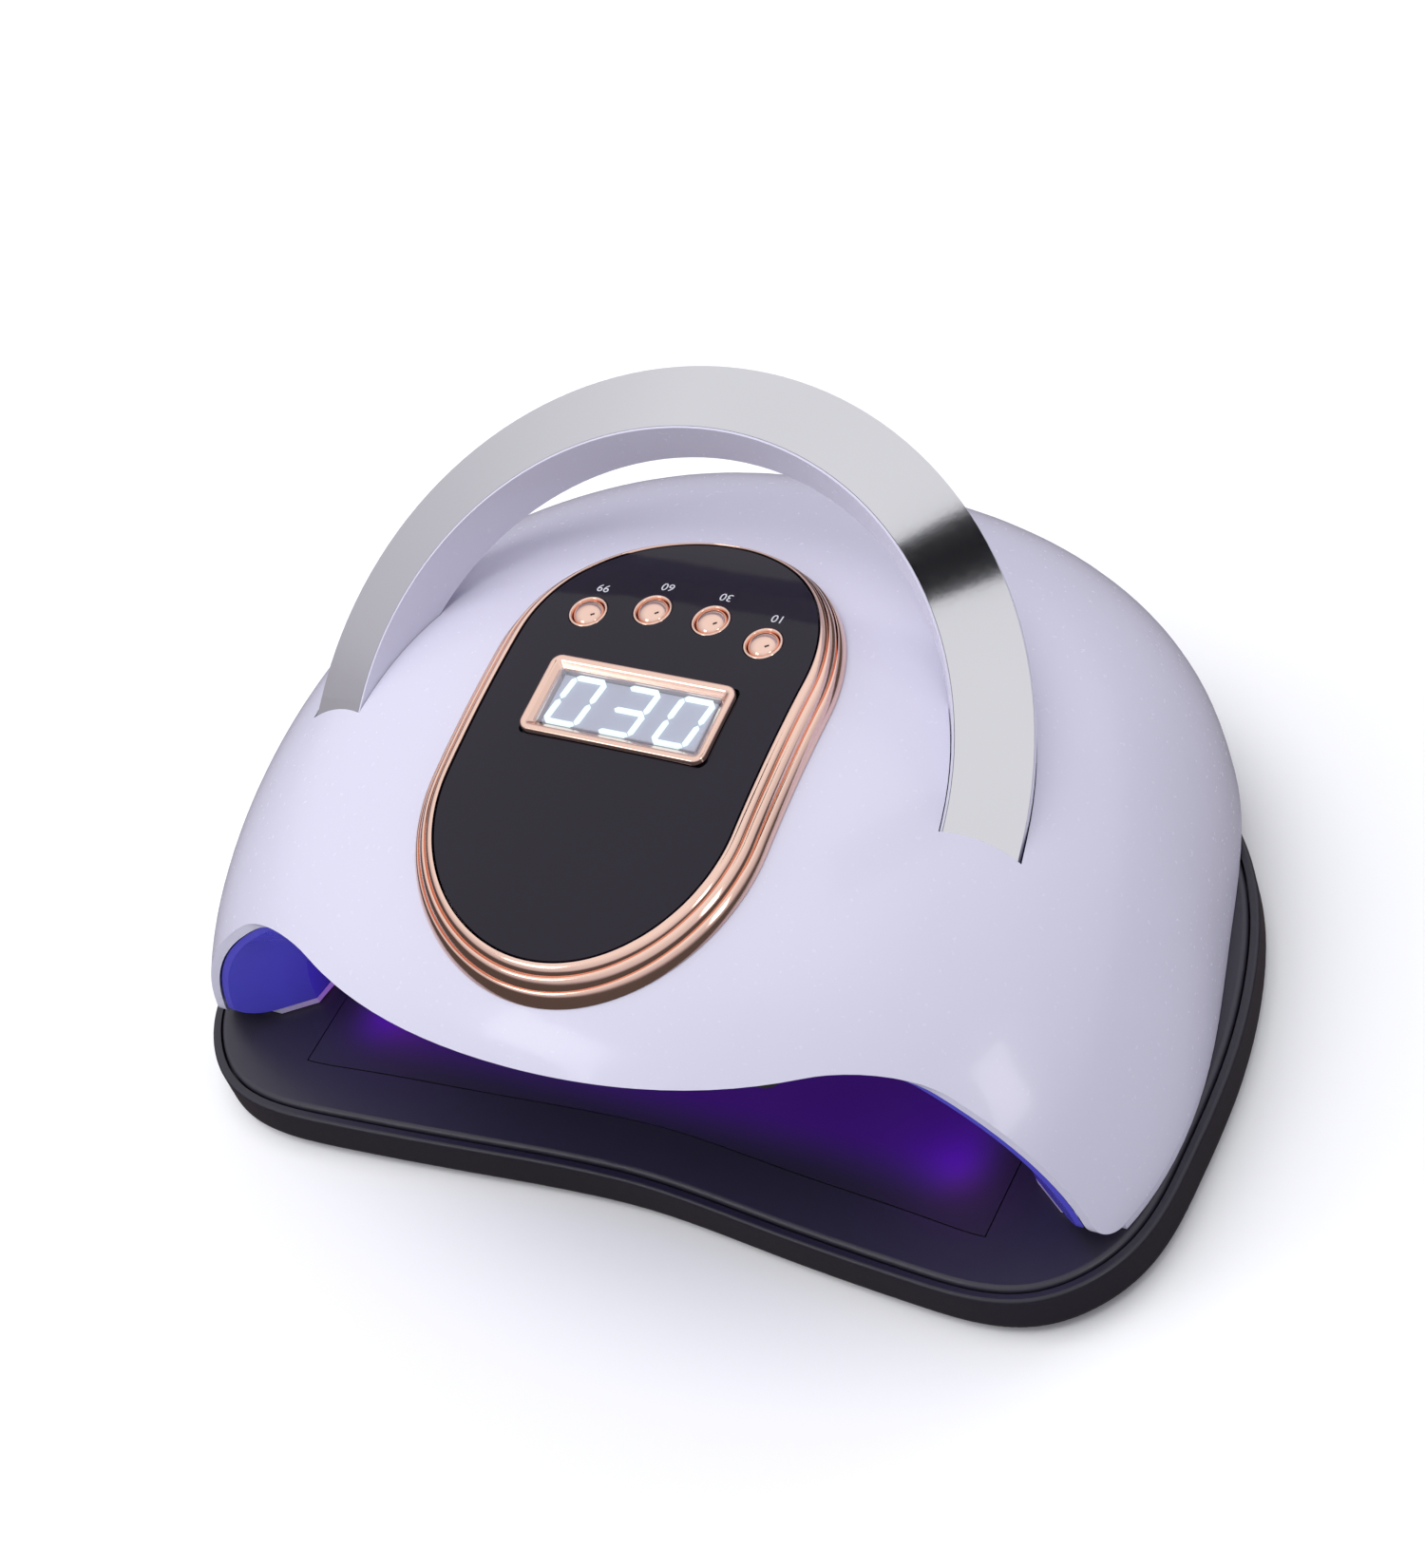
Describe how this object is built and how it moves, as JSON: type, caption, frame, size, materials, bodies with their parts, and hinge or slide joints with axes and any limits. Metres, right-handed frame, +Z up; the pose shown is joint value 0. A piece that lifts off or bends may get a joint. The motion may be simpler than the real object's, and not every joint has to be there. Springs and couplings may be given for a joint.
{
  "type": "uv led nail lamp",
  "caption": "Domed UV LED nail lamp with a leaning carrying handle, gold-ringed control panel with display and buttons, lit hand chamber and a loose dark base.",
  "frame": {"origin": "on the floor under the middle of the base plate", "axes": "+X across the lamp to the right as seen from the hand opening, +Y towards the back, +Z up; the hand opening faces -Y"},
  "size_m": [0.2409, 0.1798, 0.1253],
  "materials": {
    "base_grey": "satin dark grey-violet plastic with a fine grain",
    "board_green": "green solder mask",
    "chrome_bright": "polished chrome plating",
    "digit_glow": "lit white-cyan segments",
    "hood_white": "glossy white reflector plastic",
    "led_clear": "clear violet-tinted lens",
    "magnet_metal": "nickel-plated disc",
    "panel_black": "piano-gloss black-violet",
    "part_black": "moulded black component plastic",
    "rose_gold": "polished rose gold plating",
    "rubber_black": "matt black rubber",
    "screw_steel": "zinc-plated screw",
    "sheet_silver": "brushed reflective sheet",
    "shell_white": "satin-gloss pale lavender-white moulded plastic",
    "window_grey": "clear grey-tinted window"
  },
  "bodies": {
    "base": {"base_tray": "base_grey", "base_plate": "base_grey", "reflector_sheet": "sheet_silver", "rubber_feet": "rubber_black", "base_magnets": "magnet_metal", "tray_screws": "screw_steel"},
    "lamp": {"back_panel": "part_black", "back_screws": "screw_steel", "bezel_ring": "rose_gold", "board_screws": "screw_steel", "button_collars": "rose_gold", "catch_plates": "magnet_metal", "control_board": "board_green", "dc_jack": "part_black", "display_digits": "digit_glow", "display_frame": "rose_gold", "display_module": "part_black", "display_window": "window_grey", "driver_board": "board_green", "driver_parts": "part_black", "driver_screws": "screw_steel", "frame_screws": "screw_steel", "handle_body": "shell_white", "handle_screws": "screw_steel", "handle_tabs": "screw_steel", "handle_trim": "chrome_bright", "jack_pin": "screw_steel", "led_strips": "board_green", "light_hood": "hood_white", "lower_frame": "shell_white", "panel_plate": "panel_black", "sensor_eye": "part_black", "tact_switches": "part_black", "top_shell": "shell_white", "uv_leds": "led_clear"},
    "button_99": {"button_99": "rose_gold"},
    "button_60": {"button_60": "rose_gold"},
    "button_30": {"button_30": "rose_gold"},
    "button_10": {"button_10": "rose_gold"}
  },
  "joints": [
    {"name": "lamp_lift", "type": "slide", "parent": "base", "child": "lamp", "axis": [0, 0, 1], "range_m": [0, 0.03]},
    {"name": "button_99_press", "type": "slide", "parent": "lamp", "child": "button_99", "axis": [0, 0, -1], "range_m": [0, 0.0006], "stiffness_N_per_m": 900},
    {"name": "button_60_press", "type": "slide", "parent": "lamp", "child": "button_60", "axis": [0, 0, -1], "range_m": [0, 0.0006], "stiffness_N_per_m": 900},
    {"name": "button_30_press", "type": "slide", "parent": "lamp", "child": "button_30", "axis": [0, 0, -1], "range_m": [0, 0.0006], "stiffness_N_per_m": 900},
    {"name": "button_10_press", "type": "slide", "parent": "lamp", "child": "button_10", "axis": [0, 0, -1], "range_m": [0, 0.0006], "stiffness_N_per_m": 900}
  ]
}
